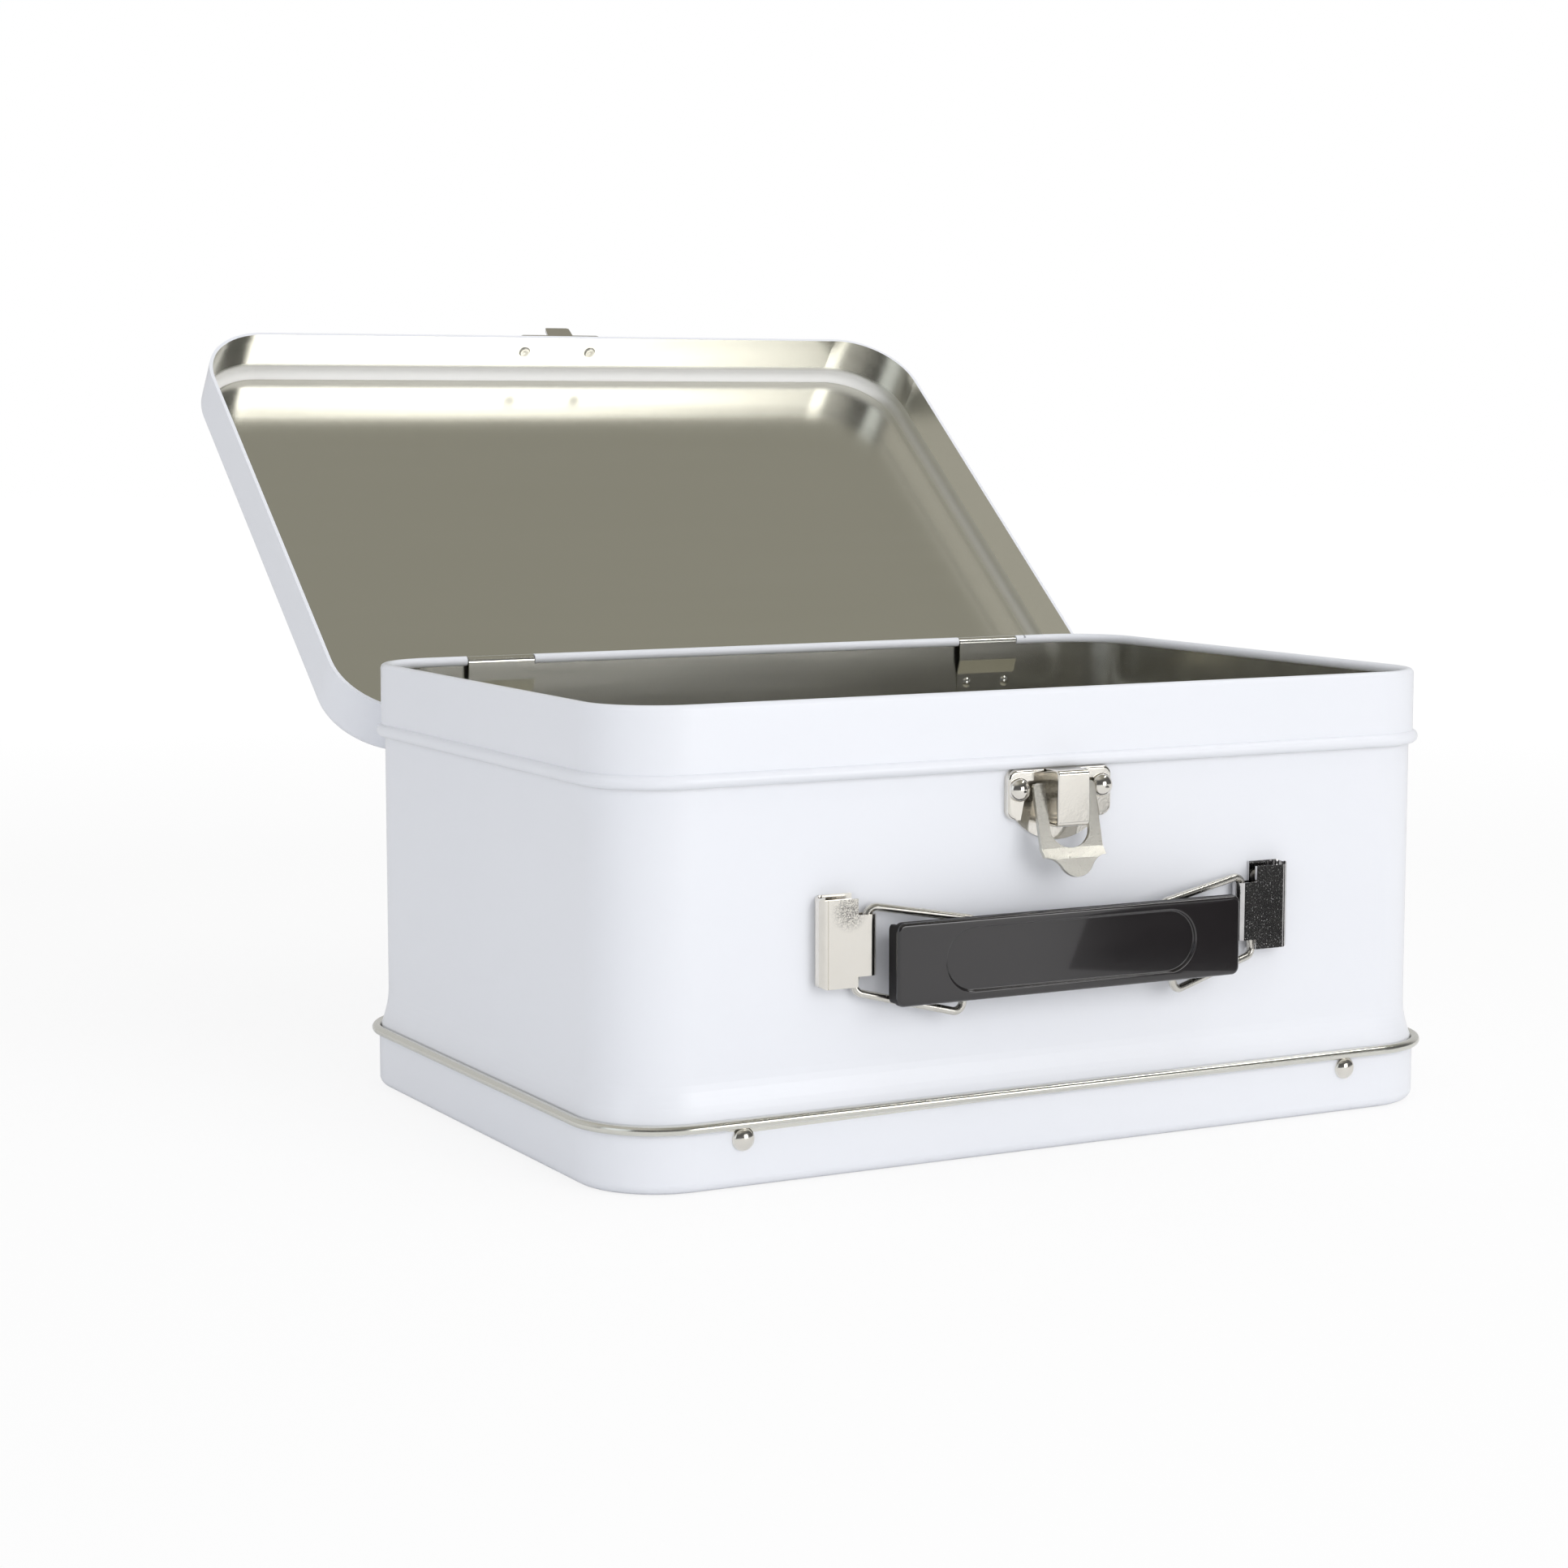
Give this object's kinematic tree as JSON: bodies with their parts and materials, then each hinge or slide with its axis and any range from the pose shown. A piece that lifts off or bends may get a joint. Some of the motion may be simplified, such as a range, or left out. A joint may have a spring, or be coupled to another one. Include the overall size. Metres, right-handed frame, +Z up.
{
  "type": "metal lunch box",
  "caption": "White enamelled pressed-steel lunch box with a hinged lid, a spring-less hasp latch and a black carrying grip on folding wire links.",
  "frame": {"origin": "middle of the flat underside of the bottom tray", "axes": "+X runs along the latch side to the viewer's right when the latch faces the viewer, +Y points from the latch side to the hinge side, +Z up"},
  "size_m": [0.2438, 0.3107, 0.2059],
  "materials": {
    "white_enamel": "smooth glossy white enamel outside, bare tinned steel inside",
    "tin_plate": "bare tinned sheet, satin",
    "rivet_tin": "tinned rivet heads, satin",
    "steel_wire": "bright drawn wire",
    "nickel_plate": "bright nickel plate, slightly tarnished",
    "rivet_nickel": "bright nickel-plated rivet heads",
    "nickel_worn": "worn, grainy nickel plate",
    "black_plastic": "glossy black moulded plastic"
  },
  "bodies": {
    "case": {"body_band": "white_enamel", "bottom_tray": "white_enamel", "tray_rivets": "rivet_tin", "hinge_strap_left": "tin_plate", "hinge_strap_right": "tin_plate", "strap_rivets": "rivet_tin", "hinge_pin_left": "steel_wire", "hinge_pin_right": "steel_wire", "latch_plate": "nickel_plate", "latch_rivets": "rivet_nickel", "handle_bracket_left": "nickel_plate", "handle_bracket_right": "nickel_plate", "bracket_rivets": "rivet_nickel"},
    "lid": {"lid_shell": "white_enamel", "lid_tab_left": "tin_plate", "lid_tab_right": "tin_plate", "lid_tab_rivets": "rivet_tin", "lid_catch": "nickel_plate", "lid_catch_rivets": "rivet_nickel"},
    "hasp": {"latch_hasp": "nickel_worn"},
    "grip": {"handle_grip": "black_plastic", "handle_grip_back": "black_plastic"},
    "link_left": {"handle_link_left": "steel_wire"},
    "link_right": {"handle_link_right": "steel_wire"}
  },
  "joints": [
    {"name": "lid_hinge", "type": "hinge", "parent": "case", "child": "lid", "pos_m": [0, 0.08252, 0.0983], "axis": [1, 0, 0], "range_deg": [0, 141]},
    {"name": "hasp_pivot", "type": "hinge", "parent": "case", "child": "hasp", "pos_m": [0, -0.08322, 0.0887], "axis": [-1, 0, 0], "range_deg": [0, 153]},
    {"name": "grip_slide", "type": "slide", "parent": "case", "child": "grip", "axis": [0, -1, 0], "range_m": [0, 0.017]},
    {"name": "link_left_pivot", "type": "hinge", "parent": "case", "child": "link_left", "pos_m": [-0.0556, -0.08202, 0.0539], "axis": [-0.1994, 0, -0.9799], "range_deg": [0, 41.1]},
    {"name": "link_right_pivot", "type": "hinge", "parent": "case", "child": "link_right", "pos_m": [0.0556, -0.08202, 0.0539], "axis": [-0.1994, 0, 0.9799], "range_deg": [0, 41.1]}
  ],
  "couplings": [
    {"joint": "link_left_pivot", "follows": "grip_slide", "rad_per_m": 42.1},
    {"joint": "link_right_pivot", "follows": "grip_slide", "rad_per_m": 42.1}
  ]
}
